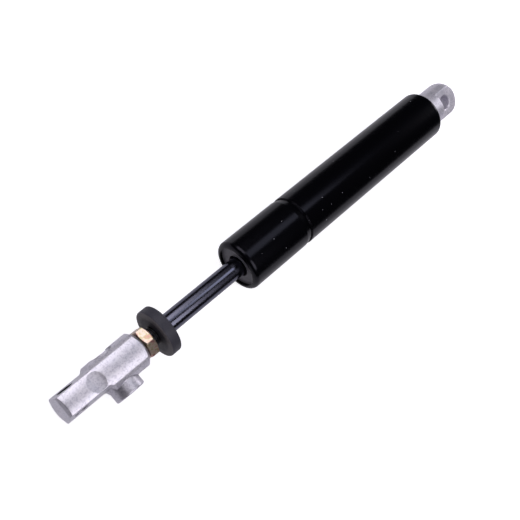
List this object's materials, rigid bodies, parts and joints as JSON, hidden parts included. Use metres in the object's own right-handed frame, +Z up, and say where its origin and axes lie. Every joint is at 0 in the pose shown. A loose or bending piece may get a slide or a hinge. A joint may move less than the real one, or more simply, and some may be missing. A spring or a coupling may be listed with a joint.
{
  "type": "gas spring",
  "caption": "Lockable gas spring: black pressure tube with a rear eye, black nitrided piston rod, rubber bumper and a cast release head with a turning shaft that unlocks the stroke.",
  "frame": {"origin": "centre of the rear eye's cross hole, on the spring's axis", "axes": "+X along the spring from the rear eye to the release head, +Y out of the release head's side boss, +Z up through the release head's arched top"},
  "size_m": [0.2904, 0.028, 0.028],
  "materials": {
    "black_tube": "gloss black paint",
    "dark_cap": "dull grey",
    "seal_rubber": "matte",
    "bronze": "machined",
    "plain_steel": "machined",
    "turned_aluminium": "machined",
    "black_rod": "black nitrided, polished",
    "band_plastic": "dull dark green-grey",
    "bumper_rubber": "matte black",
    "yellow_zinc": "yellow passivated zinc",
    "cast_aluminium": "satin die casting",
    "black_steel": "blackened"
  },
  "bodies": {
    "tube": {"pressure_tube": "black_tube", "guide_cap": "dark_cap", "guide_o_ring": "seal_rubber", "rod_wiper": "seal_rubber", "guide_bush": "bronze", "rod_seal": "seal_rubber", "seal_washer": "plain_steel", "spacer_sleeve": "turned_aluminium", "rear_eye": "cast_aluminium", "eye_o_ring": "seal_rubber"},
    "slider": {"piston_band": "band_plastic"},
    "rod": {"piston_rod": "black_rod", "piston": "turned_aluminium", "piston_nut": "plain_steel", "rubber_bumper": "bumper_rubber", "jam_nut": "yellow_zinc", "release_head": "cast_aluminium", "shaft_retaining_pin": "plain_steel", "set_screw": "black_steel"},
    "release": {"release_shaft": "plain_steel"},
    "valve": {"release_pin": "plain_steel", "valve_stem": "plain_steel", "valve_o_ring": "seal_rubber"},
    "separator": {"floating_piston": "turned_aluminium", "floating_o_ring": "seal_rubber"}
  },
  "joints": [
    {"name": "rod_slide", "type": "slide", "parent": "tube", "child": "slider", "axis": [-1, 0, 0], "range_m": [0, 0.048]},
    {"name": "rod_spin", "type": "hinge", "parent": "slider", "child": "rod", "pos_m": [0.1698, 0, 0], "axis": [1, 0, 0], "continuous": true},
    {"name": "release_turn", "type": "hinge", "parent": "rod", "child": "release", "pos_m": [0.2496, 0, -0.0024], "axis": [0, -1, 0], "range_deg": [0, 25], "stiffness_Nm_per_rad": 0.001},
    {"name": "valve_slide", "type": "slide", "parent": "rod", "child": "valve", "axis": [-1, 0, 0], "range_m": [0, 0.0011]},
    {"name": "separator_slide", "type": "slide", "parent": "tube", "child": "separator", "axis": [-1, 0, 0], "range_m": [0, 0.00768]}
  ],
  "couplings": [
    {"joint": "release_turn", "follows": "valve_slide", "rad_per_m": 396.67},
    {"joint": "separator_slide", "follows": "rod_slide", "ratio": 0.16}
  ]
}
